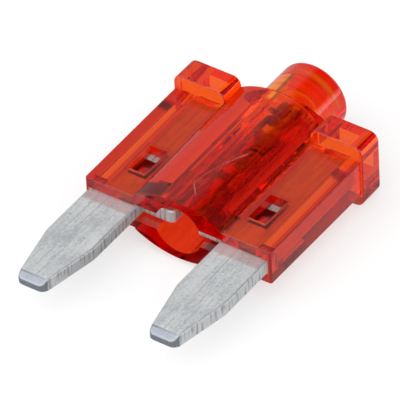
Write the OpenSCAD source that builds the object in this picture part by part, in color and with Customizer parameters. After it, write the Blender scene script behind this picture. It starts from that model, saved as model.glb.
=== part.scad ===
// Automotive mini blade fuse with a blown-fuse lamp. It lies flat: X runs across the two blades,
// Y from the blade tips to the lamp nose, Z through the thickness. The origin is on the mid-plane,
// at the middle of the housing's blade-end face. All lengths are in millimetres.

/* [Housing] */
// Width over both wings
body_w = 10.9; // [10.6:0.1:11.6]
// Length from the blade-end face to the back of the heads
body_l = 9.3; // [8.9:0.1:10.2]
// Thickness of the wings at the blade end
wing_t = 2; // [1.8:0.1:2.4]
// Angle by which each wing face rises toward the heads
wing_draft = 0.5; // [0:0.1:0.8]
// Radius of the wings' upright corners
corner_r = 0.12; // [0.05:0.01:0.3]
// Radius of the long edges of the wings
wing_edge_r = 0.05; // [0.03:0.01:0.12]

/* [Heads] */
// Width of each head block
head_w = 3.05; // [2.8:0.05:3.2]
// Length of each head block
head_l = 1.5; // [1.3:0.05:1.7]
// Thickness of the head blocks
head_t = 3.75; // [3.5:0.05:4]
// Distance by which the head blocks stand out at the housing's sides
head_out = 0.12; // [0.05:0.01:0.2]
// Distance by which the head blocks stand out behind the barrel
head_back = 0.1; // [0.05:0.01:0.2]
// Radius of the head blocks' upright corners
head_corner_r = 0.4; // [0.2:0.05:0.5]
// Radius of the head blocks' level edges
head_edge_r = 0.3; // [0.1:0.05:0.35]

/* [Barrel] */
// Width of the barrel between its two side walls
barrel_w = 5.14; // [4.8:0.02:5.2]
// Thickness over both crowns at the blade end
barrel_t = 3.6; // [3.5:0.05:3.9]
// Radius of each crown
crown_r = 4.85; // [4.6:0.05:5.4]
// Angle by which each crown rises toward the nose
crown_rise = 1.6; // [0:0.1:2]

/* [Nose] */
// Outer diameter of the lamp nose
nose_d = 3.85; // [3.6:0.05:4]
// Length of the nose beyond the heads
nose_l = 2.85; // [2.6:0.05:3.2]
// Thickness of the nose's end wall
nose_end_t = 0.75; // [0.5:0.05:0.9]
// Radius of the nose's end edge
nose_edge_r = 0.25; // [0.1:0.05:0.35]
// Diameter of the bore that holds the lamp and its resistor
bore_d = 2.68; // [2.64:0.02:2.8]

/* [Fuse strip] */
// Thickness of the zinc strip
strip_t = 0.8; // [0.7:0.05:0.85]
// Width of each contact blade
blade_w = 2.8; // [2.7:0.05:2.9]
// Exposed length of each blade
blade_l = 7.1; // [6.5:0.1:8]
// Distance from the housing's side to the outer edge of each blade
blade_inset = 0.2; // [0.15:0.01:0.3]
// Length of the tapered end of each blade
taper_l = 3.5; // [2.8:0.1:4.2]
// Width of the blade tip
tip_w = 1.3; // [1.1:0.1:1.7]
// Radius of the tip's corners
tip_r = 0.3; // [0.15:0.05:0.4]
// Thickness left at the very tip
tip_t = 0.42; // [0.3:0.02:0.6]
// Length of the bevel that thins the tip
tip_bevel_l = 0.45; // [0.3:0.05:0.8]
// Depth to which the full blade width enters the housing
root_l = 0.6; // [0.4:0.05:0.7]
// Width of the stem that carries each blade inside the housing
stem_w = 1.9; // [1.7:0.05:2]
// Distance from a blade's centre line to that of its stem
stem_offset = 0.3; // [0.2:0.02:0.4]

/* [Fuse link] */
// Width of the tabs, measured along the housing
tab_l = 1; // [0.8:0.05:1.2]
// Radius of each tab's corner in the front opening
tab_r = 0.3; // [0.1:0.05:0.4]
// Length of the link's legs, from the tabs to the bow
leg_l = 1.75; // [1.4:0.05:1.9]
// Width of the link
link_w = 0.4; // [0.3:0.02:0.46]
// Thickness of the thinned link
link_t = 0.4; // [0.3:0.05:0.5]
// Radius of the link's bow on its centre line
link_r = 0.85; // [0.8:0.01:0.9]
// Gap between the bow and the resistor behind it
bow_gap = 0.4; // [0.2:0.05:0.8]
// Radius of the two notches that make the melting neck
neck_r = 0.1; // [0.06:0.01:0.12]

/* [Stakes] */
// Width of the stake pockets
pocket_w = 1; // [0.8:0.05:1.1]
// Length of the stake pockets
pocket_l = 1.95; // [1.7:0.05:2.2]
// Distance from the blade-end face to the middle of the pockets
pocket_y = 2.65; // [2.6:0.05:3]
// Depth of a pocket at its shallow end
pocket_lip = 0.28; // [0.2:0.02:0.4]
// Side of the square stake that pins the strip
stake_w = 0.6; // [0.5:0.05:0.7]

/* [Probe windows] */
// Depth of the windows in the back of the heads
window_l = 1.35; // [1.2:0.05:1.5]
// Width of the windows
window_w = 1.2; // [1:0.05:1.4]

/* [Lamp] */
// Length of the lamp body with its dome
lamp_l = 2.9; // [2.7:0.05:3]
// Gap between the dome and the nose's end wall
lamp_end_gap = 0.3; // [0.2:0.05:0.4]
// Distance between the two lamp leads
lead_pitch = 1.4; // [1.3:0.05:1.4]
// Side of the square lamp leads
lamp_lead_w = 0.4; // [0.34:0.02:0.42]
// Length of the leads inside the lens, up to the anvil
anvil_depth = 0.9; // [0.7:0.05:1]
// Thickness of the anvil that carries the cup
anvil_t = 0.3; // [0.2:0.05:0.4]
// Height of the reflector cup over its anvil
cup_h = 0.42; // [0.36:0.01:0.46]
// Thickness of the cup's floor
cup_floor = 0.14; // [0.1:0.01:0.18]
// Distance by which the cup lies off the lamp's axis
cup_offset = 0.14; // [0.1:0.01:0.16]
// Gap between the cup and the post
post_gap = 0.12; // [0.08:0.01:0.14]
// Length of the flag at the end of the post lead
flag_l = 0.6; // [0.5:0.05:0.7]
// Radius of the reflector cup
cup_r = 0.45; // [0.4:0.01:0.48]
// Side of the light-emitting chip
chip_w = 0.26; // [0.2:0.02:0.3]
// Thickness of the chip
chip_h = 0.14; // [0.1:0.01:0.16]
// Diameter of the bond wire
bond_d = 0.05; // [0.04:0.01:0.08]

/* [Resistor] */
// Diameter over the resistor's ends
resistor_d = 1; // [0.9:0.02:1.02]
// Diameter of the resistor's waist
resistor_waist_d = 0.84; // [0.8:0.02:0.86]
// Share of the resistor's length that each thicker end takes
resistor_cap_part = 0.21; // [0.15:0.01:0.25]
// Diameter of the resistor leads
resistor_lead_d = 0.34; // [0.3:0.02:0.38]
// Length over which the rear lead lies on the lamp's post lead
lap_l = 0.55; // [0.45:0.05:0.65]
// Room between the lapped leads and the lamp
lap_gap = 0.3; // [0.2:0.05:0.35]
// Length of the bare rear lead in front of the lap
lap_reach = 0.1; // [0.05:0.05:0.15]
// Length over which each front lead lies on its leg of the link
leg_lap_l = 0.35; // [0.25:0.05:0.5]
// Radius of the solder drops on the link
solder_r = 0.36; // [0.32:0.01:0.38]

/* [Fits] */
// Clearance round the strip in its slot
slot_gap = 0.02; // [0.01:0.01:0.04]
// Clearance round the lamp in its bore
lamp_gap = 0.03; // [0.01:0.01:0.06]
// Room between the strip and the roof of the front opening
mouth_gap = 0.12; // [0.05:0.01:0.15]
// Thickness of the solder under a lead
solder_film = 0.02; // [0.01:0.01:0.04]

/* [Hidden] */
$fn = 72;
// How far a cut runs past the face it opens
past = 1;

head_y = body_l + head_back - head_l;
bore_end = body_l + nose_l - nose_end_t;
blade_x = body_w / 2 - blade_inset - blade_w / 2;
blade_in_x = blade_x - blade_w / 2;
blade_out_x = blade_x + blade_w / 2;
slot_h = strip_t + 2 * slot_gap;
stem_l = body_l - window_l;
stem_x = blade_x - stem_offset;
stem_in_x = stem_x - stem_w / 2;
link_top = link_t / 2;

lamp_r = bore_d / 2 - lamp_gap;
lamp_tip_y = bore_end - lamp_end_gap;
lamp_base_y = lamp_tip_y - lamp_l;
dome_y = lamp_tip_y - lamp_r;
lead_x = lead_pitch / 2;
cup_x = -cup_offset;
anvil_y = lamp_base_y + anvil_depth;
flag_x = cup_x + cup_r + post_gap;
flag_y = anvil_y + anvil_t / 3;
chip_y = anvil_y + anvil_t + cup_floor;

// The resistor's axis runs just above the legs of the link and the lamp's post lead
lap_y = lamp_base_y - lap_gap - lap_l;
seat_z = link_top + solder_film;
resistor_z = seat_z + resistor_lead_d / 2;
bow_y = root_l + tab_l + leg_l;
resistor_y = bow_y + link_r + link_w / 2 + bow_gap;
resistor_l = lap_y - lap_reach - resistor_y;
leg_lap_y = bow_y - leg_lap_l;

// Turns a shape that was drawn upright so that its axis points to the nose
module toward_nose() {
    rotate([-90, 0, 0]) children();
}

// A rectangle with round corners, from two squares and four discs
module round_rect(w, l, r) {
    square([w - 2 * r, l], center = true);
    square([w, l - 2 * r], center = true);
    for (sx = [-1, 1], sy = [-1, 1])
        translate([sx * (w / 2 - r), sy * (l / 2 - r)]) circle(r);
}

// A block with its upright edges and its level edges rounded
module round_block(w, l, h, r, edge) {
    intersection() {
        linear_extrude(h + past, center = true) round_rect(w, l, r);
        rotate([90, 0, 0]) linear_extrude(l + past, center = true) round_rect(w, h, edge);
        rotate([90, 0, 90]) linear_extrude(w + past, center = true) round_rect(l, h, edge);
    }
}

// A round rod on Z whose far end has a rounded edge
module round_rod(r, l, edge) {
    rotate_extrude() {
        square([r - edge, l]);
        square([r, l - edge]);
        translate([r - edge, l - edge]) circle(edge, $fn = 32);
    }
}

// One face of the wings, with its long edges rounded, which rises toward the heads
module wing_face() {
    depth = 2 * wing_t;
    rotate([wing_draft, 0, 0])
        translate([0, body_l / 2, wing_t / 2 - depth / 2])
            rotate([90, 0, 0]) linear_extrude(body_l + 2 * past, center = true)
                round_rect(body_w, depth, wing_edge_r);
}

// Wings: one plate between two faces that spread toward the heads
module wings() {
    intersection() {
        translate([0, body_l / 2, 0]) linear_extrude(2 * wing_t, center = true)
            round_rect(body_w, body_l, corner_r);
        wing_face();
        mirror([0, 0, 1]) wing_face();
    }
}

// Head blocks: what a puller grips, one at the back of each wing
module heads() {
    for (side = [-1, 1])
        translate([side * (body_w / 2 + head_out - head_w / 2), head_y + head_l / 2, 0])
            round_block(head_w, head_l, head_t, head_corner_r, head_edge_r);
}

// One crown of the barrel: a big cylinder that leans back toward the nose
module crown() {
    translate([0, 0, barrel_t / 2 - crown_r])
        rotate([crown_rise, 0, 0])
            toward_nose() translate([0, 0, -past]) cylinder(h = body_l + 3 * past, r = crown_r, $fn = 180);
}

// Barrel: the lens-shaped middle between the wings
module barrel() {
    intersection() {
        crown();
        mirror([0, 0, 1]) crown();
        translate([-barrel_w / 2, 0, -head_t]) cube([barrel_w, body_l, 2 * head_t]);
    }
}

module nose() {
    translate([0, head_y, 0]) toward_nose()
        round_rod(nose_d / 2, body_l + nose_l - head_y, nose_edge_r);
}

// Slot for the strip: wide at the mouth for the blades, then one channel for each stem
module strip_slot() {
    mouth_w = 2 * (blade_out_x + slot_gap);
    translate([-mouth_w / 2, -past, -slot_h / 2])
        cube([mouth_w, past + root_l + slot_gap, slot_h]);
    for (side = [-1, 1])
        translate([side * stem_x - stem_w / 2 - slot_gap, 0, -slot_h / 2])
            cube([stem_w + 2 * slot_gap, stem_l + slot_gap, slot_h]);
    // The part of the mouth between the blades is a little higher and takes the tabs
    translate([-stem_in_x, -past, -strip_t / 2 - mouth_gap / 2])
        cube([2 * stem_in_x, past + root_l + tab_l + slot_gap, strip_t + mouth_gap * 3 / 2]);
}

module lamp_bore() {
    translate([0, -past, 0]) toward_nose()
        round_rod(bore_d / 2, bore_end + past, nose_edge_r / 2);
}

// Windows in the back of the heads, through which a probe reaches the stems
module probe_windows() {
    for (side = [-1, 1])
        translate([side * blade_x - window_w / 2, stem_l, -slot_h / 2])
            cube([window_w, body_l - stem_l + past, slot_h]);
}

// One stake pocket in the upper face of the right wing: a ramp that runs down to the strip
module stake_pocket() {
    face = wing_t / 2 + body_l * tan(wing_draft);
    near = pocket_y - pocket_l / 2;
    far = pocket_y + pocket_l / 2;
    translate([stem_x, 0, 0]) rotate([90, 0, 90]) linear_extrude(pocket_w, center = true)
        polygon([[near, face + past], [near, wing_t / 2 - pocket_lip], [pocket_y, slot_h / 2],
                 [pocket_y, 0], [far, 0], [far, face + past]]);
}

// Square stakes of the housing's own plastic, which pass through the strip
module stakes() {
    for (side = [-1, 1])
        translate([side * stem_x - stake_w / 2, pocket_y - stake_w - 2 * slot_gap, -slot_h / 2])
            cube([stake_w, stake_w, slot_h]);
}

module housing() {
    color("crimson", 0.7) {
        difference() {
            union() {
                wings();
                heads();
                barrel();
                nose();
            }
            strip_slot();
            lamp_bore();
            probe_windows();
            for (side = [0, 1], face = [0, 1])
                mirror([side, 0, 0]) mirror([0, 0, face]) stake_pocket();
        }
        stakes();
    }
}

// Outline of one blade from its root to its tip, with round tip corners
function corner(centre, r, from, to, steps = 6) =
    [for (i = [0 : steps]) let (a = from + (to - from) * i / steps) centre + r * [cos(a), sin(a)]];

module blade_outline() {
    slope = atan2((blade_w - tip_w) / 2, taper_l);
    // Where the tip's corner circle touches the end and the slanted side
    inset = tip_r * tan(45 + slope / 2);
    cx = tip_w / 2 - inset * 0.5;
    polygon(concat(
        [[blade_w / 2, root_l], [-blade_w / 2, root_l], [-blade_w / 2, taper_l - blade_l]],
        corner([-cx, tip_r - blade_l], tip_r, 180 + slope, 270),
        corner([cx, tip_r - blade_l], tip_r, 270, 360 - slope),
        [[blade_w / 2, taper_l - blade_l]]));
}

module blades() {
    // Side view of the blades, thinned at the tip
    side_view = [[root_l, -strip_t / 2], [root_l, strip_t / 2],
                 [tip_bevel_l - blade_l, strip_t / 2], [-blade_l, tip_t / 2],
                 [-blade_l, -tip_t / 2], [tip_bevel_l - blade_l, -strip_t / 2]];
    intersection() {
        linear_extrude(strip_t, center = true)
            for (side = [-1, 1]) translate([side * blade_x, 0]) blade_outline();
        rotate([90, 0, 90]) linear_extrude(body_w, center = true) polygon(side_view);
    }
}

module stems() {
    for (side = [-1, 1])
        difference() {
            translate([side * stem_x - stem_w / 2, 0, -strip_t / 2])
                cube([stem_w, stem_l, strip_t]);
            translate([side * stem_x, pocket_y - stake_w / 2 - 2 * slot_gap, 0])
                cube([stake_w + 2 * slot_gap, stake_w + 2 * slot_gap, 2 * strip_t], center = true);
        }
}

// Tabs: they reach from the stems to the legs of the link at full thickness
module tabs() {
    end_x = link_r - link_w / 2;
    linear_extrude(strip_t, center = true)
        for (side = [0, 1]) mirror([side, 0]) {
            translate([end_x, root_l + tab_r]) square([tab_r, tab_l - tab_r]);
            translate([end_x + tab_r, root_l]) square([stem_x - end_x - tab_r, tab_l]);
            translate([end_x + tab_r, root_l + tab_r]) circle(tab_r);
        }
}

// Link: two legs and a bow, thinner than the strip, with a neck in the middle of the bow
module link() {
    leg_y = root_l + tab_l / 2;
    linear_extrude(link_t, center = true) difference() {
        union() {
            for (side = [-1, 1])
                translate([side * link_r - link_w / 2, leg_y]) square([link_w, bow_y - leg_y]);
            intersection() {
                translate([0, bow_y]) difference() {
                    circle(link_r + link_w / 2);
                    circle(link_r - link_w / 2);
                }
                translate([-body_w / 2, bow_y]) square([body_w, body_l]);
            }
        }
        for (edge = [-1, 1])
            translate([0, bow_y + link_r + edge * link_w / 2]) circle(neck_r, $fn = 24);
    }
}

module fuse_strip() {
    color("silver") {
        blades();
        stems();
        tabs();
        link();
    }
}

// Cup lead: a stamped lead with a jog, its anvil and the cup that holds the chip
module lamp_cup_lead() {
    half = lamp_lead_w / 2;
    step_y = resistor_y - bow_gap / 8;
    // Side view of the lead, which steps up onto the left leg of the link
    side_view = [[anvil_y + anvil_t, half], [step_y + lamp_lead_w, half],
                 [step_y, seat_z + lamp_lead_w], [leg_lap_y, seat_z + lamp_lead_w],
                 [leg_lap_y, seat_z], [step_y - lamp_lead_w / 4, seat_z],
                 [step_y + lamp_lead_w * 3 / 4, -half], [anvil_y + anvil_t, -half]];
    color("lightgray") {
        translate([-lead_x, 0, 0]) rotate([90, 0, 90])
            linear_extrude(lamp_lead_w, center = true) polygon(side_view);
        translate([-lead_x, anvil_y, -half])
            cube([lead_x + cup_x, anvil_t, lamp_lead_w]);
        translate([cup_x, anvil_y, 0]) toward_nose() difference() {
            cylinder(h = anvil_t + cup_h, r = cup_r, $fn = 48);
            translate([0, 0, anvil_t + cup_floor])
                cylinder(h = cup_h - cup_floor + 0.001, r1 = cup_r * 0.55, r2 = cup_r - 0.06, $fn = 48);
        }
    }
}

// Post lead: the lamp's other lead and the flag that the bond wire lands on
module lamp_post_lead() {
    color("lightgray") translate([0, 0, -lamp_lead_w / 2]) {
        translate([lead_x - lamp_lead_w / 2, lap_y, 0])
            cube([lamp_lead_w, flag_y + flag_l - lap_y, lamp_lead_w]);
        translate([flag_x, flag_y, 0])
            cube([lead_x + lamp_lead_w / 2 - flag_x, flag_l, lamp_lead_w]);
    }
}

module lamp_chip() {
    color("gold") translate([cup_x - chip_w / 2, chip_y, -chip_w / 2])
        cube([chip_w, chip_h, chip_w]);
}

// Bond wire: a half ring from the chip to the post
module lamp_bond_wire() {
    start = [cup_x, chip_y + chip_h, 0];
    landing = [lead_x, flag_y + flag_l, 0];
    loop_r = (landing.x - start.x) / 2;
    color("gold") translate([start.x + loop_r, landing.y, 0]) {
        rotate_extrude(angle = 180) translate([loop_r, 0]) circle(d = bond_d, $fn = 16);
        translate([-loop_r, start.y - landing.y, 0]) toward_nose()
            cylinder(h = landing.y - start.y, d = bond_d, $fn = 16);
    }
}

// Lens: clear resin cast round the cup, the post, the chip and the bond wire
module lamp_lens() {
    color("white", 0.4) difference() {
        union() {
            translate([0, lamp_base_y, 0]) toward_nose() cylinder(h = dome_y - lamp_base_y, r = lamp_r);
            intersection() {
                translate([0, dome_y, 0]) sphere(r = lamp_r);
                translate([-body_w / 2, dome_y, -body_w / 2]) cube(body_w);
            }
        }
        lamp_cup_lead();
        lamp_post_lead();
        lamp_chip();
        lamp_bond_wire();
    }
}

module resistor_body() {
    cap_r = resistor_d / 2;
    waist_r = resistor_waist_d / 2;
    resistor_cap_l = resistor_l * resistor_cap_part;
    edge = resistor_cap_l / 3;
    color("steelblue") translate([lead_x, resistor_y, resistor_z]) toward_nose() rotate_extrude() {
        square([waist_r, resistor_l]);
        for (end = [0, resistor_l - resistor_cap_l]) translate([0, end]) {
            square([cap_r - edge, resistor_cap_l]);
            translate([0, edge]) square([cap_r, resistor_cap_l - 2 * edge]);
            for (y = [edge, resistor_cap_l - edge])
                translate([cap_r - edge, y]) circle(edge, $fn = 32);
        }
    }
}

// A straight round lead of the resistor between two places along the housing
module resistor_lead(from, to) {
    color("silver") translate([lead_x, from, resistor_z]) toward_nose()
        cylinder(h = to - from, d = resistor_lead_d, $fn = 32);
}

// Front lead: from the resistor over the bow to the right leg of the link
module resistor_front_lead() {
    resistor_lead(leg_lap_y, resistor_y);
}

// Rear lead: it lies on the lamp's post lead
module resistor_rear_lead() {
    resistor_lead(resistor_y + resistor_l, lap_y + lap_l);
}

// A drop of solder on one leg of the link, round the lead that lies on it
module link_solder(side) {
    color("gainsboro") difference() {
        intersection() {
            translate([side * link_r, bow_y, link_top]) sphere(solder_r, $fn = 48);
            translate([-body_w / 2, 0, link_top]) cube([body_w, body_l, head_t]);
        }
        children();
    }
}

module link_solder_left() {
    link_solder(-1) lamp_cup_lead();
}

module link_solder_right() {
    link_solder(1) resistor_front_lead();
}

// Solder round the lapped leads of the resistor and the lamp
module lead_solder() {
    color("gainsboro") difference() {
        translate([lead_x, lap_y + lap_l / 2, seat_z]) toward_nose()
            cylinder(h = lap_l * 0.7, r = lamp_lead_w * 0.8, center = true, $fn = 36);
        lamp_post_lead();
        resistor_rear_lead();
    }
}

housing();
fuse_strip();
lamp_lens();
lamp_cup_lead();
lamp_post_lead();
lamp_chip();
lamp_bond_wire();
resistor_body();
resistor_front_lead();
resistor_rear_lead();
link_solder_left();
link_solder_right();
lead_solder();
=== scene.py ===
import math
import bpy
import bmesh
from mathutils import Matrix, Vector


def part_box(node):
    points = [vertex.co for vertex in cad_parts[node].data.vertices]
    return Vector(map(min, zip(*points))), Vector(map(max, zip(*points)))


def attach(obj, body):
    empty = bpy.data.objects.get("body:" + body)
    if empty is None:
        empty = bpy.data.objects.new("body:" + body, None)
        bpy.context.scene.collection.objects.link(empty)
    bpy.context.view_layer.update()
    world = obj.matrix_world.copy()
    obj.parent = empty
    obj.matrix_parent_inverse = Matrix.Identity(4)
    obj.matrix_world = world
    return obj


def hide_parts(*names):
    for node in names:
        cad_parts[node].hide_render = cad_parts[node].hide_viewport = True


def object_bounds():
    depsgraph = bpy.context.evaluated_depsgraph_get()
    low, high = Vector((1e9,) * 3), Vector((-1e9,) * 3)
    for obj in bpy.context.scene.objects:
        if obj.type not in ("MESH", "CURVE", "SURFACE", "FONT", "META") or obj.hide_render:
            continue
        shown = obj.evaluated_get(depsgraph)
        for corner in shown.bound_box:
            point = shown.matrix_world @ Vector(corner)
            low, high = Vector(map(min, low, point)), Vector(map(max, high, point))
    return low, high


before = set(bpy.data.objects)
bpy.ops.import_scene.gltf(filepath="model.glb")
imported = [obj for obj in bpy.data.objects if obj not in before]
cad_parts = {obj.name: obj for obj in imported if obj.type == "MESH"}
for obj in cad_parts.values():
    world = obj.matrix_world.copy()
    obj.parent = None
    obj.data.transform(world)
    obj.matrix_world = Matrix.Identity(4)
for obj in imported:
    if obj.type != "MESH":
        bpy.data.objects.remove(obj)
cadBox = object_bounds()
scene = bpy.context.scene
mm = 0.001
samePoint = 0.0005    # mm, points nearer than this are one

# Camera, fitted to the corners of the housing and the blades in the photograph

camera = {
    "aim": (0.0, 2.0, 0.0),        # mm, the point that the fit turned about
    "azimuth": 36.1359,            # degrees from -Y toward +X
    "elevation": 40.5966,
    "roll": -2.99,
    "distance": 413.748,           # mm
    "scale": 20.5163,              # pixels per mm at the aim
    "right": 0.8358,               # pixels that the aim lies right of the middle
    "down": 7.5042,
    "picture": 400,                # pixels
    "sensor": 36,                  # mm
    "sees": (0.01, 10),            # metres
}


def makeCamera(v):
    az, el, roll = (math.radians(v[k]) for k in ("azimuth", "elevation", "roll"))
    back = Vector((math.sin(az) * math.cos(el), -math.cos(az) * math.cos(el), math.sin(el)))
    right = Vector((math.cos(az), math.sin(az), 0))
    up = back.cross(right)
    side = right * math.cos(roll) + up * math.sin(roll)
    top = up * math.cos(roll) - right * math.sin(roll)
    lens = bpy.data.cameras.new("photoCamera")
    lens.sensor_width = v["sensor"]
    lens.lens = v["sensor"] * v["scale"] * v["distance"] / v["picture"]
    lens.clip_start, lens.clip_end = v["sees"]
    holder = bpy.data.objects.new("photoCamera", lens)
    scene.collection.objects.link(holder)
    place = Vector(v["aim"]) + back * v["distance"]
    place += (top * v["down"] - side * v["right"]) / v["scale"]
    turn = Matrix((side, top, back)).transposed().to_4x4()
    holder.matrix_world = Matrix.Translation(place * mm) @ turn
    scene.camera = holder


makeCamera(camera)
print("camera placed")


# Shared node helpers

def newMaterial(name):
    mat = bpy.data.materials.new(name)
    mat.use_nodes = True
    return mat, mat.node_tree, mat.node_tree.nodes["Principled BSDF"]


def addNode(tree, kind, **settings):
    row, column = divmod(len(tree.nodes), 12)
    node = tree.nodes.new(kind)
    node.location = (220 * column - 2600, -320 * row)
    for key, value in settings.items():
        setattr(node, key, value)
    return node


def feed(tree, socket, value):
    # a number or colour is set on the socket, anything else is linked to it
    if isinstance(value, bpy.types.NodeSocket):
        tree.links.new(value, socket)
    else:
        socket.default_value = value


def mathOf(tree, operation, first, second=0.0, **settings):
    node = addNode(tree, "ShaderNodeMath", operation=operation, **settings)
    feed(tree, node.inputs[0], first)
    feed(tree, node.inputs[1], second)
    return node.outputs["Value"]


def product(tree, first, *others):
    for other in others:
        first = mathOf(tree, "MULTIPLY", first, other)
    return first


def largest(tree, first, *others):
    for other in others:
        first = mathOf(tree, "MAXIMUM", first, other)
    return first


def vectorOf(tree, operation, first, second):
    node = addNode(tree, "ShaderNodeVectorMath", operation=operation)
    feed(tree, node.inputs[0], first)
    feed(tree, node.inputs[1], second)
    return node.outputs


def ranged(tree, value, start, end, low=0.0, high=1.0, kind="SMOOTHSTEP"):
    node = addNode(tree, "ShaderNodeMapRange", interpolation_type=kind)
    feed(tree, node.inputs["Value"], value)
    for name, number in (("From Min", start), ("From Max", end), ("To Min", low), ("To Max", high)):
        node.inputs[name].default_value = number
    return node.outputs["Result"]


def rise(tree, length, start, end, low=0.0, high=1.0):
    # climbs between two places in mm, and falls where the first is the greater one
    return ranged(tree, length, start * mm, end * mm, low, high)


def within(tree, length, low, high, soft=0.01):
    # 1 between two places in mm, 0 outside them
    begins = rise(tree, length, low - soft, low + soft)
    return product(tree, begins, rise(tree, length, high + soft, high - soft))


def below(tree, length, limit):
    return mathOf(tree, "LESS_THAN", length, limit * mm)


def above(tree, length, limit):
    return mathOf(tree, "GREATER_THAN", length, limit * mm)


def mixedTone(tree, factor, first, second):
    node = addNode(tree, "ShaderNodeMix", data_type="RGBA")
    feed(tree, node.inputs["Factor"], factor)
    feed(tree, node.inputs["A"], first)
    feed(tree, node.inputs["B"], second)
    return node.outputs["Result"]


def layered(tree, tone, layers):
    # each layer is a mask and the tone that it puts over what is there
    for mask, over in layers:
        tone = mixedTone(tree, mask, tone, over)
    return tone


def colourRamp(tree, value, stops, kind="LINEAR"):
    node = addNode(tree, "ShaderNodeValToRGB")
    ramp = node.color_ramp
    ramp.interpolation = kind
    for stop, (place, colour) in zip(ramp.elements, (stops[0], stops[-1])):
        stop.position = place
        stop.color = colour
    for place, colour in stops[1:-1]:
        ramp.elements.new(place).color = colour
    tree.links.new(value, node.inputs["Fac"])
    return node.outputs["Color"]


def addNoise(tree, vector, scale, detail, roughness=0.5):
    node = addNode(tree, "ShaderNodeTexNoise")
    node.inputs["Detail"].default_value = detail
    node.inputs["Roughness"].default_value = roughness
    feed(tree, node.inputs["Scale"], scale)
    tree.links.new(vector, node.inputs["Vector"])
    return node.outputs["Fac"]


def addBump(tree, height, distance, strength=1.0, under=None):
    # distance in mm, under is the normal that the bump lies on
    node = addNode(tree, "ShaderNodeBump")
    node.inputs["Distance"].default_value = distance * mm
    feed(tree, node.inputs["Height"], height)
    feed(tree, node.inputs["Strength"], strength)
    if under is not None:
        tree.links.new(under, node.inputs["Normal"])
    return node.outputs["Normal"]


def objectAxes(tree):
    # the point's place on the object, as the node's own outputs and as three numbers
    where = addNode(tree, "ShaderNodeTexCoord").outputs
    split = addNode(tree, "ShaderNodeSeparateXYZ")
    tree.links.new(where["Object"], split.inputs["Vector"])
    return where, *(split.outputs[axis] for axis in "XYZ")


# Fine wear: speckle, lengthwise scratches and soft blotches, shared by the metals and the plastic

fineWear = {
    "grain": (3, 0.65),       # detail and roughness of the noise
    "scratches": (4, 0.7),
    "blotches": (2, 0.5),
    "blotchSize": 900,
}


def makeWearGroup(v):
    group = bpy.data.node_groups.new("fineWear", "ShaderNodeTree")
    for name, value in (("Grain Size", 9000), ("Scratch Size", 2500), ("Stretch", 0.05)):
        socket = group.interface.new_socket(name, in_out="INPUT", socket_type="NodeSocketFloat")
        socket.default_value = value
    for name in ("Grain", "Scratches", "Blotches"):
        group.interface.new_socket(name, in_out="OUTPUT", socket_type="NodeSocketFloat")
    given = addNode(group, "NodeGroupInput").outputs
    result = addNode(group, "NodeGroupOutput")
    where = addNode(group, "ShaderNodeTexCoord").outputs["Object"]
    stretch = addNode(group, "ShaderNodeCombineXYZ")
    stretch.inputs["X"].default_value = 1
    stretch.inputs["Z"].default_value = 1
    group.links.new(given["Stretch"], stretch.inputs["Y"])
    pulled = vectorOf(group, "MULTIPLY", where, stretch.outputs["Vector"])["Vector"]
    for name, noise in (("Grain", addNoise(group, where, given["Grain Size"], *v["grain"])),
                        ("Scratches", addNoise(group, pulled, given["Scratch Size"], *v["scratches"])),
                        ("Blotches", addNoise(group, where, v["blotchSize"], *v["blotches"]))):
        group.links.new(noise, result.inputs[name])
    return group


wearGroup = makeWearGroup(fineWear)


def addWear(tree, grain, scratch, stretch):
    node = addNode(tree, "ShaderNodeGroup", node_tree=wearGroup)
    for name, value in (("Grain Size", grain), ("Scratch Size", scratch), ("Stretch", stretch)):
        node.inputs[name].default_value = value
    return node.outputs


# Shared mesh helpers

def asObject(bm, name):
    mesh = bpy.data.meshes.new(name)
    bm.to_mesh(mesh)
    bm.free()
    piece = bpy.data.objects.new(name, mesh)
    scene.collection.objects.link(piece)
    return piece


def shadeSmooth(piece, sharpAngle):
    piece.data.shade_smooth()
    piece.data.set_sharp_from_angle(angle=math.radians(sharpAngle))


def levelShading(piece, sharpAngle=30):
    # flat faces stay flat beside their round edges
    shadeSmooth(piece, sharpAngle)
    level = piece.modifiers.new("levelFaces", "WEIGHTED_NORMAL")
    level.mode = "FACE_AREA"
    level.weight = 100
    level.keep_sharp = True


def joinedCopy(node, name, flat=0.2):
    # a copy of a CAD node's mesh, its triangles joined where they meet at less than so many degrees
    bm = bmesh.new()
    bm.from_mesh(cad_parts[node].data)
    bmesh.ops.remove_doubles(bm, verts=bm.verts, dist=samePoint * mm)
    bmesh.ops.dissolve_limit(bm, angle_limit=math.radians(flat), verts=bm.verts, edges=bm.edges)
    piece = asObject(bm, name)
    levelShading(piece)
    return piece


def spunForm(profile, steps):
    # profile: (distance from the Y axis, place along Y), in mm
    bm = bmesh.new()
    verts = [bm.verts.new((r, y, 0)) for r, y in profile]
    edges = [bm.edges.new(pair) for pair in zip(verts, verts[1:])]
    bmesh.ops.spin(bm, geom=verts + edges, cent=(0, 0, 0), axis=(0, 1, 0), dvec=(0, 0, 0),
                   angle=2 * math.pi, steps=steps, use_merge=True, use_duplicate=False)
    bmesh.ops.remove_doubles(bm, verts=bm.verts, dist=samePoint)
    bmesh.ops.recalc_face_normals(bm, faces=bm.faces)
    return bm


def spunPiece(name, profile, centreX=0, centreZ=0, steps=48, sharpAngle=35):
    bm = spunForm(profile, steps)
    bmesh.ops.translate(bm, vec=(centreX, 0, centreZ), verts=bm.verts)
    bmesh.ops.scale(bm, vec=(mm, mm, mm), verts=bm.verts)
    piece = asObject(bm, name)
    shadeSmooth(piece, sharpAngle)
    return piece


def roundEnd(radius, end, edge, steps=6):
    # the quarter turn from a side at the radius to an end, in mm
    turns = [math.radians(90 * i / steps) for i in range(steps + 1)]
    return [(radius - edge + edge * math.cos(a), end - edge + edge * math.sin(a)) for a in turns]


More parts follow.
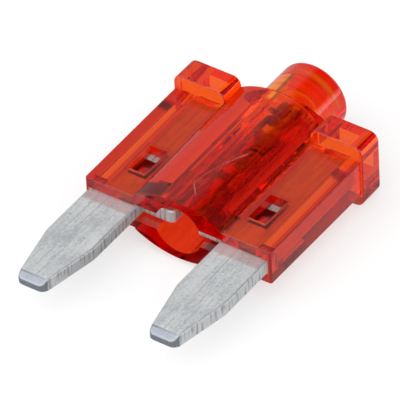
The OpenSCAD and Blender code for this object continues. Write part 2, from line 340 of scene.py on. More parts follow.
def finishPiece(piece, material, slot, *nodes):
    piece.data.materials.clear()
    piece.data.materials.append(material)
    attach(piece, "root")
    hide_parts(*nodes)


# Housing: clear red plastic that takes its colour from its thickness, with painted light and shade in the
# tint of its faces

plastic = {
    "refraction": 1.585,
    "colour": (0.97, 0.6875, 0.0, 1),     # what depth takes away
    "density": 800,                       # per metre
    "tint": (0.97, 0.15, 0.025, 1),       # what a plain wall lets through
    "over": (1.0, 0.52, 0.08, 1),         # painted light: a lighter tint above the strip's stems
    "glow": (1.0, 0.16, 0.03, 1),         # painted light in the band outside each stem
    "line": (0.45, 0.06, 0.03, 1),        # painted shade along the stem's outer edge
    "side": (0.9, 0.05, 0.02, 1),         # painted shade on the left flank of the barrel and the front edge of each head's side
    "pale": (1.0, 0.36, 0.06, 1),         # painted light on the crown, above the lamp
    "deep": (0.62, 0.012, 0.01, 1),       # painted shade along the wings' edges and on the right flank
    "rim": (0.85, 0.2, 0.09, 1),          # painted shade with a pink cast, on the upper face round each pocket
    "lower": (0.88, 0.05, 0.015, 1),      # painted shade underneath the barrel
    "ledge": (0.7, 0.025, 0.018, 1),      # painted shade on the slot's floor
    "ledgeFront": (0.3, 0.01, 0.01, 1),   # and darker still at its mouth
    "pocket": (0.5, 0.008, 0.012, 1),     # painted shade in the pockets and on the barrel's end
    # painted light: a lighter tint on the nose
    "nose": (1.0, 0.34, 0.06, 1),
    # painted shade at the nose's end
    "noseTip": (0.9, 0.03, 0.02, 1),
    "boreStreak": (0.8, 0.04, 0.012, 1),
    # painted shade: dark streaks on the bore wall, and a dark ring on the nose
    "darkShade": (0.35, 0.006, 0.006, 1),
    "glint": (1.0, 0.8, 0.2, 1),
    # painted highlight along the crease
    "crease": (1.0, 0.75, 0.6, 1),
    "topTones": ((-5.45, "deep"), (-4.87, "deep"), (-4.76, "glow"), (-4.5, "glow"), (-4.4, "line"),
                 (-4.34, "line"), (-4.28, "over"), (-2.75, "over"), (-2.6, "side"), (-1.5, "side"),
                 (-1.2, "tint"), (1.1, "tint"), (1.5, "deep"), (2.5, "deep"), (2.62, "over"),
                 (4.66, "over"), (4.72, "line"), (4.8, "line"), (4.92, "glow"), (5.16, "glow"),
                 (5.26, "deep"), (5.45, "deep")),    # mm across the upper face, where these tones lay bands of painted light and shade
    "outerFace": 0.93,                    # mm from the mid-plane, past which a face is an outer one
    "endFace": 0.01,                      # mm along, before which a face is the barrel's end
    "headFrom": 7.85,                     # mm along
    "headEdge": (7.8, 7.99),
    "headSide": 5.35,                     # mm across
    "wingFrom": 2.65,
    "paleSpan": ((-1.1, 1.0, 0.4), (5.6, 9.6, 0.8)),         # mm across, along and soft edge of each
    "rimSpan": ((2.9, 4.25, 0.06), (1.42, 3.78, 0.06)),
    "pocketSpan": ((3.03, 4.07), (1.64, 3.65)),
    "pocketDepth": 0.99,                  # mm from the mid-plane
    "pocketRagged": 0.3,
    "ledgeSpan": (-0.52, -0.41),          # mm up
    "ledgeMouth": (0.8, 0.6),             # mm along
    "slotSpan": ((2.4, 5.32), (0.02, 8.1), (-0.55, -0.43)),  # mm, the part of the slot that scatters light
    "noseFrom": 9.45,                     # mm along
    "tipFrom": (11.35, 11.55),
    "noseShell": (1.8, 2.0),              # mm from the lamp's axis
    "noseRings": ((10.32, 0.03, "darkShade", 0.5), (10.9, 0.12, "lower", 0.6),
                  (11.22, 0.07, "rim", 0.5)),                # painted shade in rings on the nose: mm along, half width, tone and its share
    "ringSlope": 0.12,                    # the rings lie a little askew
    "ringSoft": 0.03,
    "boreShell": (1.31, 1.41),            # mm from the lamp's axis
    "scoreStart": ((0.0, 0.5), (1.29, 0.26), (2.14, -0.43), (2.95, -0.26), (4.2, 0.11), (5.44, 0.5),
                   (5.7, 0.1), (6.6, 0.15), (7.3, 0.55), (9.6, 0.9)),    # mm along, mm across
    "scoreEdge": (-0.03, 0.05),           # mm past that line, where the scores come in
    "creaseLine": ((0.0, 0.7), (0.86, 0.57), (1.61, -0.045), (2.44, 0.106), (3.7, 0.47), (5.0, 1.06)),
    "creaseWidth": 0.085,                 # mm, half its width
    "creaseThin": 0.5,                    # share of that width at its start
    "creaseEnds": (0.95, 4.9, 0.15),      # mm along, and how softly it ends
    "creaseWidens": (1.9, 2.5),           # mm along
    "creaseAbove": 1.5,                   # mm up, so that only the upper crown has it
    "wear": (5000, 1800, 0.1),            # grain, scratches and their stretch
    "scores": (3000, 1900, 0.13),
    "streakCut": (0.42, 0.6),             # levels of the noise between which each mark comes in
    "scoreCut": (0.48, 0.515),
    "glintCut": (0.60, 0.64),
    "blotchCut": (0.35, 0.75),
    "roughness": (0.018, 0.06),
    "slotRoughness": 0.45,
    "underRoughness": 0.27,               # of the wings' scuffed underside
    "creaseRoughness": 0.3,
    "dents": (0.02, 0.05),                # mm deep, and strength
    "raggedDepth": 0.15,                  # mm
    "creaseDepth": 0.05,
}


def topTone(tree, v, x):
    # the tone of the upper face, from the place across it: bands of painted light and shade
    half = v["topTones"][-1][0]
    across = ranged(tree, x, -half * mm, half * mm, kind="LINEAR")
    return colourRamp(tree, across, [(0.5 + place / half / 2, v[name]) for place, name in v["topTones"]])


def pastLine(tree, x, y, places):
    # how far a point lies past a bent line that runs along the barrel, at most 2 mm from its middle
    length, reach = places[-1][0], 2
    along = ranged(tree, y, 0, length * mm, kind="LINEAR")
    greys = [(place / length, (0.5 + across / reach / 2,) * 3 + (1,)) for place, across in places]
    line = ranged(tree, colourRamp(tree, along, greys), 0, 1, -reach * mm, reach * mm, kind="LINEAR")
    return mathOf(tree, "SUBTRACT", x, line)


def creaseMask(tree, v, x, y, z):
    # a fine crease on the upper crown
    off = mathOf(tree, "ABSOLUTE", pastLine(tree, x, y, v["creaseLine"]))
    share = rise(tree, y, *v["creaseWidens"], v["creaseThin"], 1)
    line = rise(tree, mathOf(tree, "DIVIDE", off, share), v["creaseWidth"], 0)
    line = product(tree, line, within(tree, y, *v["creaseEnds"]))
    return product(tree, line, above(tree, z, v["creaseAbove"]))


def makePlastic(v):
    mat, tree, shader = newMaterial("clearRedPlastic")
    shader.inputs["IOR"].default_value = v["refraction"]
    shader.inputs["Transmission Weight"].default_value = 1
    depth = addNode(tree, "ShaderNodeVolumeAbsorption")
    depth.inputs["Color"].default_value = v["colour"]
    depth.inputs["Density"].default_value = v["density"]
    tree.links.new(depth.outputs["Volume"], tree.nodes["Material Output"].inputs["Volume"])
    wear = addWear(tree, *v["wear"])
    scores = addWear(tree, *v["scores"])
    where, x, y, z = objectAxes(tree)
    wide = mathOf(tree, "ABSOLUTE", x)
    spoke = vectorOf(tree, "MULTIPLY", where["Object"], (1, 0, 1))["Vector"]
    fromAxis = vectorOf(tree, "DISTANCE", spoke, (0, 0, 0))["Value"]    # the lamp's axis

    # places
    onBarrel = below(tree, wide, v["wingFrom"])
    beforeHeads = below(tree, y, v["headFrom"])
    onTop = product(tree, above(tree, z, v["outerFace"]), largest(tree, beforeHeads, onBarrel))
    under = below(tree, z, -v["outerFace"])
    pale, rim, inPocket = (product(tree, within(tree, across, *v[name][0]), within(tree, y, *v[name][1]))
                           for across, name in ((x, "paleSpan"), (wide, "rimSpan"), (wide, "pocketSpan")))
    inPocket = product(tree, inPocket, below(tree, mathOf(tree, "ABSOLUTE", z), v["pocketDepth"]))
    onLedge = product(tree, within(tree, z, *v["ledgeSpan"]), onBarrel)
    onEnd = product(tree, below(tree, y, v["endFace"]), onBarrel)
    onNose = above(tree, y, v["noseFrom"])
    headEdge = product(tree, within(tree, y, *v["headEdge"]), above(tree, wide, v["headSide"]))
    noseShell = product(tree, within(tree, fromAxis, *v["noseShell"]), onNose)
    onBore = product(tree, within(tree, fromAxis, *v["boreShell"]), below(tree, y, v["noseFrom"]))
    scored = product(tree, onBore, rise(tree, pastLine(tree, x, y, v["scoreStart"]), *v["scoreEdge"]))
    crease = creaseMask(tree, v, x, y, z)
    scuffed = product(tree, under, above(tree, wide, v["wingFrom"]), beforeHeads)
    inSlot = product(tree, *(within(tree, axis, *ends) for axis, ends in zip((wide, y, z), v["slotSpan"])))

    # tones, each over those before it, most of them painted light and shade
    top = layered(tree, topTone(tree, v, x), ((rim, v["rim"]), (pale, v["pale"])))
    ledge = mixedTone(tree, rise(tree, y, *v["ledgeMouth"]), v["ledge"], v["ledgeFront"])
    layers = [(onTop, top),
              (product(tree, under, onBarrel), v["lower"]),
              (onLedge, ledge),
              (onEnd, v["pocket"]),
              (inPocket, v["pocket"]),
              (onNose, v["nose"]),
              (rise(tree, y, *v["tipFrom"]), v["noseTip"]),
              (headEdge, v["side"])]
    askew = mathOf(tree, "ADD", y, product(tree, z, v["ringSlope"]))
    for place, half, name, share in v["noseRings"]:
        ring = within(tree, askew, place - half, place + half, v["ringSoft"])
        layers.append((product(tree, ring, noseShell, share), v[name]))
    layers += [(product(tree, onBore, ranged(tree, scores["Scratches"], *v["streakCut"])), v["boreStreak"]),
               (product(tree, scored, ranged(tree, scores["Scratches"], *v["scoreCut"])), v["darkShade"]),
               (product(tree, scored, ranged(tree, scores["Grain"], *v["glintCut"])), v["glint"]),
               (crease, v["crease"])]
    tree.links.new(layered(tree, v["tint"], layers), shader.inputs["Base Color"])

    # finish
    rough = largest(tree, ranged(tree, wear["Blotches"], *v["blotchCut"], *v["roughness"]),
                    product(tree, inSlot, v["slotRoughness"]), product(tree, scuffed, v["underRoughness"]),
                    product(tree, crease, v["creaseRoughness"]))
    tree.links.new(rough, shader.inputs["Roughness"])
    soft = addBump(tree, wear["Blotches"], *v["dents"])
    rags = largest(tree, scored, product(tree, inPocket, v["pocketRagged"]))
    ragged = addBump(tree, scores["Scratches"], v["raggedDepth"], rags, soft)
    tree.links.new(addBump(tree, crease, v["creaseDepth"], under=ragged), shader.inputs["Normal"])
    return mat


# Shell of the housing, in mm, with a little more room round the strip and the lamp than they need

shell = {
    "wing": (10.9, 9.3, 2.0),          # width, length and thickness at the blade end
    "draft": 0.5,                      # degrees by which each wing face rises
    "wingCorner": (0.12, 4),           # radius and the steps that it has
    "wingEdge": (0.05, 3),
    "head": (3.05, 1.5, 3.75),         # width, length and height
    "headMiddle": (4.045, 8.65),       # across and along
    "headRound": (0.5, 12),            # along the block
    "headEdge": (0.07, 3),             # at its front and back
    "barrelWidth": 5.14,
    "crown": (4.85, 1.8, 1.6),         # radius, height at the blade end, degrees of rise
    "crownReach": (-3, 13),            # from before the housing to behind it
    "crownSteps": 360,
    "noseRadius": 1.925,
    "noseEnd": 12.15,
    "noseEdge": 0.25,
    "noseSteps": 160,
    "boreRadius": 1.36,
    "boreEnd": 11.42,
    "boreEdge": 0.145,
    "boreSteps": 120,
    "slot": 0.45,                      # half the height of the slot
    "mouth": (5.3, 0.66),              # half width and depth
    "middle": (2.6, 1.66, -0.49, 0.53),    # half width, depth, floor and roof
    "stem": (2.55, 4.55, 8.0),         # from and to across, and depth
    "window": (3.25, 4.45, 7.95),      # from and to across, and where it begins
    "pocket": (3.05, 4.05, 1.675, 3.2, 3.625),    # from and to across, near end, foot of the ramp, far end
    "pocketLip": 0.72,                 # height of the ramp's near end
    "stake": (3.28, 3.82, 2.04, 2.58),     # from and to across and along
    "stakeSink": 0.05,                 # by which the stakes run into the slot's floor and roof
    "past": 1,                         # by which a tool stands out of an end
    "over": 3,                         # half the height of a tool that cuts through a face
    "through": 1.5,                    # and of one that cuts through both wing faces
    "flat": 0.05,                      # degrees, faces that meet at less than this are joined
}


def newBlock(x, y, z):
    # a block between two places along each axis
    low, high = (Vector(corner) for corner in zip(x, y, z))
    bm = bmesh.new()
    bmesh.ops.create_cube(bm, size=1)
    bmesh.ops.scale(bm, vec=high - low, verts=bm.verts)
    bmesh.ops.translate(bm, vec=(low + high) / 2, verts=bm.verts)
    return bm


def roundEdges(bm, picks, radius, segments):
    bm.normal_update()
    edges = [e for e in bm.edges if picks(e)]
    bmesh.ops.bevel(bm, geom=edges, offset=radius, offset_type="OFFSET", affect="EDGES", segments=segments,
                    profile=0.5, material=-1, clamp_overlap=True)


def runsAlong(axis):
    def picks(edge):
        step = edge.verts[1].co - edge.verts[0].co
        return abs(step[axis]) > 0.5 * step.length
    return picks


def isEndRim(edge):
    # between an end that faces along Y and any other face
    ends = [abs(f.normal.y) > 0.9 for f in edge.link_faces]
    return len(ends) == 2 and ends[0] != ends[1]


def isWingRim(edge):
    # between a nearly level face and a nearly upright one
    flat = sorted(abs(f.normal.z) for f in edge.link_faces)
    return len(flat) == 2 and flat[0] < 0.1 and flat[1] > 0.9


def carve(target, tool, how="DIFFERENCE"):
    # tool is a bmesh, which is used up
    form = asObject(tool, "carvingTool")
    step = target.modifiers.new("carve", "BOOLEAN")
    step.operation = how
    step.solver = "EXACT"
    step.object = form
    result = bpy.data.meshes.new_from_object(target.evaluated_get(bpy.context.evaluated_depsgraph_get()))
    target.modifiers.clear()
    old = target.data
    target.data = result
    bpy.data.meshes.remove(old)
    bpy.data.meshes.remove(form.data)    # which takes the tool's object with it


def makeWings(v):
    width, length, thick = v["wing"]
    lift = math.tan(math.radians(v["draft"])) * length
    wings = newBlock((-width / 2, width / 2), (0, length), (-thick / 2, thick / 2))
    for vert in wings.verts:
        if vert.co.y > length / 2:
            vert.co.z += math.copysign(lift, vert.co.z)
    roundEdges(wings, runsAlong(2), *v["wingCorner"])
    roundEdges(wings, isWingRim, *v["wingEdge"])
    return asObject(wings, "housingShell")


def addBarrel(v, body):
    radius, top, lean = v["crown"]
    front, back = v["crownReach"]
    half = v["barrelWidth"] / 2
    barrel = asObject(newBlock((-half, half), (0, v["wing"][1]), (-v["over"], v["over"])), "barrel")
    for side in (1, -1):
        crown = bmesh.new()
        bmesh.ops.create_cone(crown, cap_ends=True, segments=v["crownSteps"], radius1=radius, radius2=radius,
                              depth=back - front)
        bmesh.ops.rotate(crown, verts=crown.verts, matrix=Matrix.Rotation(math.radians(90), 3, "X"))
        bmesh.ops.translate(crown, verts=crown.verts, vec=(0, (front + back) / 2, 0))
        bmesh.ops.rotate(crown, verts=crown.verts, matrix=Matrix.Rotation(math.radians(lean * side), 3, "X"))
        bmesh.ops.translate(crown, verts=crown.verts, vec=(0, 0, side * (top - radius)))
        carve(barrel, crown, "INTERSECT")
    form = bmesh.new()
    form.from_mesh(barrel.data)
    bpy.data.meshes.remove(barrel.data)
    carve(body, form, "UNION")


def addHeadsAndNose(v, body):
    width, length, height = v["head"]
    middleX, middleY = v["headMiddle"]
    front, back = middleY - length / 2, middleY + length / 2
    for side in (1, -1):
        middle = side * middleX
        head = newBlock((middle - width / 2, middle + width / 2), (front, back), (-height / 2, height / 2))
        roundEdges(head, runsAlong(1), *v["headRound"])
        roundEdges(head, isEndRim, *v["headEdge"])
        carve(body, head, "UNION")
    nose = [(0, front), (v["noseRadius"], front)]
    nose += roundEnd(v["noseRadius"], v["noseEnd"], v["noseEdge"]) + [(0, v["noseEnd"])]
    carve(body, spunForm(nose, v["noseSteps"]), "UNION")


def cutSlotAndBore(v, body):
    half, past, end = v["slot"], v["past"], v["wing"][1]
    mouthX, mouthY = v["mouth"]
    middleX, middleY, floor, roof = v["middle"]
    stemIn, stemOut, stemEnd = v["stem"]
    windowIn, windowOut, windowFrom = v["window"]
    for x, y, z in (((-mouthX, mouthX), (-past, mouthY), (-half, half)),
                    ((-middleX, middleX), (-past, middleY), (floor, roof)),
                    ((stemIn, stemOut), (0, stemEnd), (-half, half)),
                    ((-stemOut, -stemIn), (0, stemEnd), (-half, half)),
                    ((windowIn, windowOut), (windowFrom, end + past), (-half, half)),
                    ((-windowOut, -windowIn), (windowFrom, end + past), (-half, half))):
        carve(body, newBlock(x, y, z))
    bore = [(0, -past), (v["boreRadius"], -past)]
    bore += roundEnd(v["boreRadius"], v["boreEnd"], v["boreEdge"]) + [(0, v["boreEnd"])]
    carve(body, spunForm(bore, v["boreSteps"]))


def cutPockets(v, body):
    inX, outX, near, foot, far = v["pocket"]
    half, sink = v["slot"], v["stakeSink"]
    for side in (1, -1):
        across = sorted((side * inX, side * outX))
        for face in (1, -1):
            pocket = newBlock(across, (near, far), (0, v["over"]))
            bmesh.ops.bisect_plane(pocket, geom=pocket.verts[:] + pocket.edges[:] + pocket.faces[:],
                                   plane_co=(0, foot, 0), plane_no=(0, 1, 0))
            for vert in pocket.verts:
                if vert.co.z < half and vert.co.y < near + samePoint:
                    vert.co.z = v["pocketLip"]
                elif vert.co.z < half and vert.co.y < foot + samePoint:
                    vert.co.z = half - 2 * samePoint
            if face < 0:
                bmesh.ops.scale(pocket, vec=(1, 1, -1), verts=pocket.verts)
                bmesh.ops.recalc_face_normals(pocket, faces=pocket.faces)
            carve(body, pocket)
        carve(body, newBlock(across, (foot, far), (-v["through"], v["through"])))
        left, right, front, back = v["stake"]
        across = sorted((side * left, side * right))
        carve(body, newBlock(across, (front, back), (-half - sink, half + sink)), "UNION")


def makeShell(v):
    body = makeWings(v)
    addBarrel(v, body)
    addHeadsAndNose(v, body)
    cutSlotAndBore(v, body)
    cutPockets(v, body)
    done = bmesh.new()
    done.from_mesh(body.data)
    bmesh.ops.remove_doubles(done, verts=done.verts, dist=2 * samePoint)
    bmesh.ops.dissolve_limit(done, angle_limit=math.radians(v["flat"]), verts=done.verts, edges=done.edges)
    bmesh.ops.scale(done, vec=(mm, mm, mm), verts=done.verts)
    bmesh.ops.recalc_face_normals(done, faces=done.faces)
    done.to_mesh(body.data)
    done.free()
    levelShading(body)
    return body


housing = makeShell(shell)
finishPiece(housing, makePlastic(plastic), "clear_red_plastic", "housing")
print("housing dressed", len(housing.data.vertices))


# Fuse strip: rolled zinc, punched out

zinc = {
    "light": (0.72, 0.735, 0.74, 1),
    "dark": (0.48, 0.505, 0.53, 1),
    "spot": (0.3, 0.31, 0.33, 1),         # dents and roller lines
    "litInside": (0.97, 0.96, 0.94, 1),       # painted light: the metal inside the housing, painted near white
    # stains on the metal inside the housing, also painted light
    "litInsideStain": (0.78, 0.70, 0.62, 1),
    "blush": (0.45, 0.22, 0.23, 1),       # red light from the housing's end
    # painted shade on the bare tabs, under the housing's lip
    "tab": (0.26, 0.24, 0.22, 1),
    "side": (0.56, 0.57, 0.58, 1),        # the punched sides: their own duller tone, set darker as painted shade
    "sheared": (0.30, 0.31, 0.325, 1),    # dark tears on them
    "edge": (0.36, 0.38, 0.41, 1),        # painted dark reflection on the rounded edge round the punched outline
    "tipReflection": (0.30, 0.325, 0.36, 1),     # painted dark bluish reflection on the tip's polished metal
    "link": (0.55, 0.47, 0.45, 1),        # the thinned link
    "pocket": (0.15, 0.075, 0.07, 1),     # painted shade under the stake pockets, in red light
    "bladeMiddle": 3.85,                  # mm across
    "lines": (-0.3, 0.15, 0.62),          # mm from a blade's middle, the long roller lines
    "lineWidth": 0.035,
    "lineSlope": 0.03,                    # the lines run a little askew
    "insideFrom": (0.0, 0.25),             # mm along, inside the housing
    "tabTo": (2.45, 2.5, 2.55),           # mm across, before, at and past the end of the bare tabs
    "blushFrom": (-0.85, -0.6),           # mm along
    "housingFrom": (0.1, 0),
    "sideTo": (0.3, 0),
    "tipFrom": (-6.58, -6.72),
    "linkFrom": (1.62, 1.8),
    "linkTo": (1.5, 1.4),                 # mm across
    "pocketAlong": ((1.6, 1.75), (3.75, 3.65)),   # mm, where the shade of a pocket begins and ends
    "pocketAcross": ((2.95, 3.05), (4.15, 4.05)),
    "wear": (7000, 5200, 0.04),           # grain, scratches and their stretch
    "tearStretch": (1, 1, 0.12),          # they stand upright
    "tears": (6500, 3),                   # scale and detail
    "fineShare": 0.38,                    # of grain and scratches in the mottle
    "blotchShare": 0.24,
    "mottleCut": (0.36, 0.60),            # levels of the noise between which each mark comes in
    "spotCut": (0.33, 0.27),
    "lineCut": (0.42, 0.55),
    "insideCut": (0.38, 0.56),
    "patchCut": (0.40, 0.58),
    "tearCut": (0.50, 0.36),
    "shadeCut": (0.58, 0.42),
    "bendLevel": ((0.99, 0.9), (0.3, 0.5)),       # how level the rounded edge is
    "steepLevel": (0.97, 0.6),
    "shares": {"spot": 0.7, "line": 0.65, "patch": 0.35, "blush": 0.45, "tab": 0.65, "edge": 0.7,
               "link": 0.9, "shade": 0.6},
    "roughness": (0.30, 0.48),
    "roughCut": (0.35, 0.65),
    "tipPolish": 0.14,                    # taken from the roughness at the tip
    "metal": 0.5,
    "tipMetal": 0.4,                      # added at the tip
    "grainBump": (0.03, 0.35),            # mm deep, and strength
    "edgeRound": (0.11, 4, 20),           # mm, steps, and degrees past which an edge is rounded
}


def rollerLines(tree, v, y, wide, blotches):
    aside = mathOf(tree, "SUBTRACT", wide, v["bladeMiddle"] * mm)
    aside = mathOf(tree, "ADD", aside, product(tree, y, v["lineSlope"]))
    worn = ranged(tree, blotches, *v["lineCut"])
    for place in v["lines"]:
        off = mathOf(tree, "ABSOLUTE", mathOf(tree, "SUBTRACT", aside, place * mm))
        yield product(tree, rise(tree, off, v["lineWidth"], 0), worn, v["shares"]["line"])


def makeZinc(v):
    mat, tree, shader = newMaterial("rolledZinc")
    wear = addWear(tree, *v["wear"])
    where, x, y = objectAxes(tree)[:3]
    wide = mathOf(tree, "ABSOLUTE", x)
    share = v["shares"]
    fine = product(tree, mathOf(tree, "ADD", wear["Grain"], wear["Scratches"]), v["fineShare"])
    mottle = mathOf(tree, "ADD", fine, product(tree, wear["Blotches"], v["blotchShare"]))
    fibre = product(tree, mathOf(tree, "ADD", mottle, wear["Scratches"]), 0.5)
    upright = vectorOf(tree, "MULTIPLY", where["Object"], v["tearStretch"])["Vector"]
    tears = addNoise(tree, upright, *v["tears"])

    # places
    beforeTab, atTab, pastTab = v["tabTo"]
    inside = product(tree, rise(tree, y, *v["insideFrom"]), rise(tree, wide, atTab, pastTab))
    onTab = rise(tree, wide, pastTab, beforeTab)
    onBlade = rise(tree, y, *v["housingFrom"])
    tip = rise(tree, y, *v["tipFrom"])
    onLink = product(tree, rise(tree, y, *v["linkFrom"]), rise(tree, wide, *v["linkTo"]))
    limits = [(y, ends) for ends in v["pocketAlong"]] + [(wide, ends) for ends in v["pocketAcross"]]
    underPocket = product(tree, *(rise(tree, axis, *ends) for axis, ends in limits))
    facing = addNode(tree, "ShaderNodeSeparateXYZ")
    tree.links.new(where["Normal"], facing.inputs["Vector"])
    level = mathOf(tree, "ABSOLUTE", facing.outputs["Z"])
    bend = product(tree, *(ranged(tree, level, *ends) for ends in v["bendLevel"]), onBlade)
    bare = largest(tree, onTab, rise(tree, y, *v["sideTo"]))
    steep = product(tree, ranged(tree, level, *v["steepLevel"]), bare)

    # tones, each over those before it, several of them painted light and shade
    tone = mixedTone(tree, ranged(tree, mottle, *v["mottleCut"]), v["dark"], v["light"])
    spots = product(tree, ranged(tree, wear["Grain"], *v["spotCut"]), share["spot"])
    lines = [(line, v["spot"]) for line in rollerLines(tree, v, y, wide, wear["Blotches"])]
    tone = layered(tree, tone, [(spots, v["spot"])] + lines)
    # the metal inside the housing, painted light, with stains
    kept = mixedTone(tree, ranged(tree, fibre, *v["insideCut"]), v["litInsideStain"], v["litInside"])
    patch = ranged(tree, wear["Blotches"], *v["patchCut"], share["patch"], 0)
    kept = mixedTone(tree, patch, kept, v["litInsideStain"])
    shade = ranged(tree, fibre, *v["shadeCut"], share["shade"], 1)
    tone = layered(tree, tone, (
        (inside, kept),
        (product(tree, rise(tree, y, *v["blushFrom"]), onBlade, share["blush"]), v["blush"]),
        (product(tree, onTab, share["tab"]), v["tab"]),
        (steep, v["side"]),
        (product(tree, steep, ranged(tree, tears, *v["tearCut"])), v["sheared"]),
        (product(tree, bend, share["edge"]), v["edge"]),
        (tip, v["tipReflection"]),
        (product(tree, onLink, share["link"]), v["link"]),
        (product(tree, underPocket, shade), v["pocket"])))
    tree.links.new(tone, shader.inputs["Base Color"])

    # finish
    rough = ranged(tree, fibre, *v["roughCut"], *v["roughness"])
    rough = mathOf(tree, "SUBTRACT", rough, product(tree, tip, v["tipPolish"]))
    metal = product(tree, ranged(tree, inside, 0, 1, 1, 0), v["metal"])
    metal = mathOf(tree, "ADD", metal, product(tree, tip, v["tipMetal"]))
    tree.links.new(rough, shader.inputs["Roughness"])
    tree.links.new(metal, shader.inputs["Metallic"])
    tree.links.new(addBump(tree, fibre, *v["grainBump"]), shader.inputs["Normal"])
    return mat


def makeStrip(v):
    strip = joinedCopy("fuse_strip", "zincStrip")
    width, segments, angle = v["edgeRound"]
    roll = strip.modifiers.new("rolledEdges", "BEVEL")
    roll.width = width * mm
    roll.segments = segments
    roll.limit_method = "ANGLE"
    roll.angle_limit = math.radians(angle)
    roll.use_clamp_overlap = False
    strip.modifiers.move(1, 0)    # the edges are rounded before the faces are levelled
    finishPiece(strip, makeZinc(v), "zinc", "fuse_strip")


makeStrip(zinc)
print("fuse strip dressed")


# Leads, solder and the lamp's small parts

smallMetal = {
    "finishes": {"tinned_steel": ("tinnedSteel", (0.80, 0.80, 0.78), 0.3),
                 "solder": ("solderMetal", (0.76, 0.76, 0.75), 0.35),
                 "gold_wire": ("goldWire", (0.9, 0.66, 0.25), 0.2),
                 "chip": ("lampChip", (0.45, 0.38, 0.12), 0.4)},    # name, colour and roughness for each slot
    "pieces": (("lamp_cup_lead", "cupLead", "tinned_steel"),
               ("lamp_post_lead", "postLead", "tinned_steel"),
               ("resistor_front_lead", "frontLead", "tinned_steel"),
               ("resistor_rear_lead", "rearLead", "tinned_steel"),
               ("link_solder_left", "solderLeft", "solder"),
               ("link_solder_right", "solderRight", "solder"),
               ("lead_solder", "solderLap", "solder"),
               ("lamp_chip", "chipDie", "chip"),
               ("lamp_bond_wire", "bondLoop", "gold_wire")),
    "metal": 0.2,                        # dull with flux
    "wear": (6000, 4000, 0.1),           # grain, scratches and their stretch
    "stain": 0.7,                        # share of the colour that a stain leaves
    "stainCut": (0.3, 0.65),
    "roughShare": (0.7, 1.5),            # of the roughness, where scratches are faint and deep
}


def makeMetal(v, name, colour, roughness):
    mat, tree, shader = newMaterial(name)
    shader.inputs["Metallic"].default_value = v["metal"]
    wear = addWear(tree, *v["wear"])
    stained, bright = v["stainCut"]
    stops = [(stained, tuple(c * v["stain"] for c in colour) + (1,)), (bright, (*colour, 1))]
    rough = [roughness * share for share in v["roughShare"]]
    tree.links.new(colourRamp(tree, wear["Blotches"], stops), shader.inputs["Base Color"])
    tree.links.new(ranged(tree, wear["Scratches"], 0, 1, *rough, kind="LINEAR"), shader.inputs["Roughness"])
    return mat


metals = {slot: makeMetal(smallMetal, *finish) for slot, finish in smallMetal["finishes"].items()}
for node, name, slot in smallMetal["pieces"]:
    finishPiece(joinedCopy(node, name), metals[slot], slot, node)


# Lamp lens

lens = {
    "refraction": 1.15,                  # less than resin's own 1.5, which darkens the crown in blotches
    "roughness": 0.1,
    "edge": 0.06,                        # mm, bevel at the flat end
    "domeSteps": 15,
}


def makeResin(v):
    mat, tree, shader = newMaterial("clearResin")
    shader.inputs["Base Color"].default_value = (1, 1, 1, 1)
    shader.inputs["IOR"].default_value = v["refraction"]
    shader.inputs["Transmission Weight"].default_value = 1
    shader.inputs["Roughness"].default_value = v["roughness"]
    return mat


def lensProfile(v):
    low, high = (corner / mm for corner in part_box("lamp_lens"))
    radius, edge = (high.x - low.x) / 2, v["edge"]
    profile = [(0, low.y), (radius - edge, low.y), (radius, low.y + edge)]
    return profile + roundEnd(radius, high.y, radius, v["domeSteps"])[:-1] + [(0, high.y)]


finishPiece(spunPiece("lampLens", lensProfile(lens)), makeResin(lens), "clear_resin", "lamp_lens")


# Resistor

resistor = {
    "waist": 0.45,                       # mm
    "cap": 0.54,
    "capShape": ((0, 0), (0.55, 0), (0.85, 0.05), (1, 0.18), (1, 0.35), (0.93, 0.475)),    # share, mm along
    "waistFrom": 0.65,
    "coat": (0.46, 0.52, 0.56, 1),
    "bands": ((0.62, (0.35, 0.12, 0.04, 1)), (1.0, (0.02, 0.02, 0.02, 1)), (1.38, (0.5, 0.1, 0.03, 1)),
              (1.85, (0.55, 0.35, 0.1, 1))),     # mm from the front end, and colour
    "bandWidth": 0.16,
    "roughness": 0.35,
}


def makeCoat(v, front, length):
    mat, tree, shader = newMaterial("resistorCoat")
    shader.inputs["Roughness"].default_value = v["roughness"]
    half = v["bandWidth"] / 2
    stops = [(0.0, v["coat"])]
    for place, colour in v["bands"]:
        stops += [((place - half) / length, colour), ((place + half) / length, v["coat"])]
    y = objectAxes(tree)[2]
    along = ranged(tree, y, front * mm, (front + length) * mm, kind="LINEAR")
    tree.links.new(colourRamp(tree, along, stops, "CONSTANT"), shader.inputs["Base Color"])
    return mat


def resistorProfile(v, front, length):
    half = [(v["cap"] * share, y) for share, y in v["capShape"]] + [(v["waist"], v["waistFrom"])]
    back = [(r, length - y) for r, y in reversed(half)]
    return [(r, front + y) for r, y in half + back]


def makeResistor(v):
    low, high = (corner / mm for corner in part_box("resistor_body"))
    front, length = low.y, high.y - low.y
    middle = (low + high) / 2
    piece = spunPiece("resistorBody", resistorProfile(v, front, length), middle.x, middle.z)
    finishPiece(piece, makeCoat(v, front, length), "resistor_coat", "resistor_body")


makeResistor(resistor)
print("lamp and resistor dressed")


# Floor and sky

studio = {
    "floorGap": 0.0018,                   # mm below the part
    "floorReach": 1.5,                    # metres, half its side
    "floorColour": (0.93, 0.93, 0.93, 1),
    "floorRoughness": 0.9,
    "floorGlow": 0.58,                    # share of the floor that glows, as the camera sees it
    "throughGlow": 0.8,                   # the same, as seen through the plastic
    "mirrorLevel": 0.5,                   # brightness of the floor in reflections, not through the plastic
    "nook": (-1.0, -1.8),                 # mm, middle of the shade between the blades
    "nookReach": (4.0, 1.5),              # mm, where the shade begins and where it is full
    "sky": 1.95,
    "dimmed": (((-0.5, 0.7, 0.45), (0.55, 0.85), 0.19),    # toward, cosines between which it dims, share kept
               ((0.35, 0.65, 0.65), (0.75, 0.88), 0.04)),
    "bounces": 96,                        # light turns many times inside the clear plastic
}


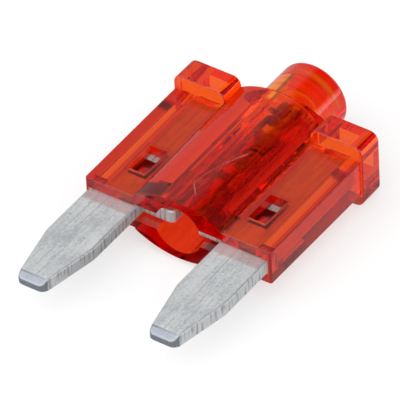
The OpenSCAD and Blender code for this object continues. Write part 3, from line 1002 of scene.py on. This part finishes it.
def makeFloor(v):
    height = cadBox[0][2] - v["floorGap"] * mm
    bm = bmesh.new()
    bmesh.ops.create_grid(bm, x_segments=1, y_segments=1, size=v["floorReach"])
    bmesh.ops.translate(bm, vec=(0, 0, height), verts=bm.verts)
    floor = asObject(bm, "floorPlane")
    mat, tree, shader = newMaterial("paleFloor")
    shader.inputs["Base Color"].default_value = v["floorColour"]
    shader.inputs["Roughness"].default_value = v["floorRoughness"]
    shader.inputs["Specular IOR Level"].default_value = 0
    rays = addNode(tree, "ShaderNodeLightPath").outputs
    through = rays["Is Transmission Ray"]
    mirrored = mathOf(tree, "SUBTRACT", rays["Is Glossy Ray"], through, use_clamp=True)    # in reflections
    share = largest(tree, product(tree, rays["Is Camera Ray"], v["floorGlow"]),
                    product(tree, through, v["throughGlow"]), mirrored)
    where = addNode(tree, "ShaderNodeTexCoord").outputs["Object"]
    nookX, nookY = v["nook"]
    away = vectorOf(tree, "DISTANCE", where, (nookX * mm, nookY * mm, height))["Value"]
    shade = product(tree, rise(tree, away, *v["nookReach"]), mirrored)
    level = ranged(tree, mirrored, 0, 1, 1, v["mirrorLevel"], kind="LINEAR")
    glow = addNode(tree, "ShaderNodeEmission")
    mix = addNode(tree, "ShaderNodeMixShader")
    tree.links.new(product(tree, level, mathOf(tree, "SUBTRACT", 1.0, shade)), glow.inputs["Strength"])
    tree.links.new(share, mix.inputs["Fac"])
    tree.links.new(shader.outputs["BSDF"], mix.inputs[1])
    tree.links.new(glow.outputs["Emission"], mix.inputs[2])
    tree.links.new(mix.outputs["Shader"], tree.nodes["Material Output"].inputs["Surface"])
    floor.data.materials.append(mat)


def makeSky(v):
    world = bpy.data.worlds.new("softStudio")
    world.use_nodes = True
    tree = world.node_tree
    background = tree.nodes["Background"]
    background.inputs["Color"].default_value = (1, 1, 1, 1)
    where = addNode(tree, "ShaderNodeTexCoord").outputs["Generated"]
    level = v["sky"]
    for toward, cosines, share in v["dimmed"]:
        facing = vectorOf(tree, "DOT_PRODUCT", where, Vector(toward).normalized())["Value"]
        level = product(tree, ranged(tree, facing, *cosines, 1, share), level)
    tree.links.new(level, background.inputs["Strength"])
    scene.world = world


makeFloor(studio)
makeSky(studio)
scene.view_settings.view_transform = "Standard"
for name in ("max_bounces", "transmission_bounces", "glossy_bounces"):
    setattr(scene.cycles, name, studio["bounces"])
print("studio lit")
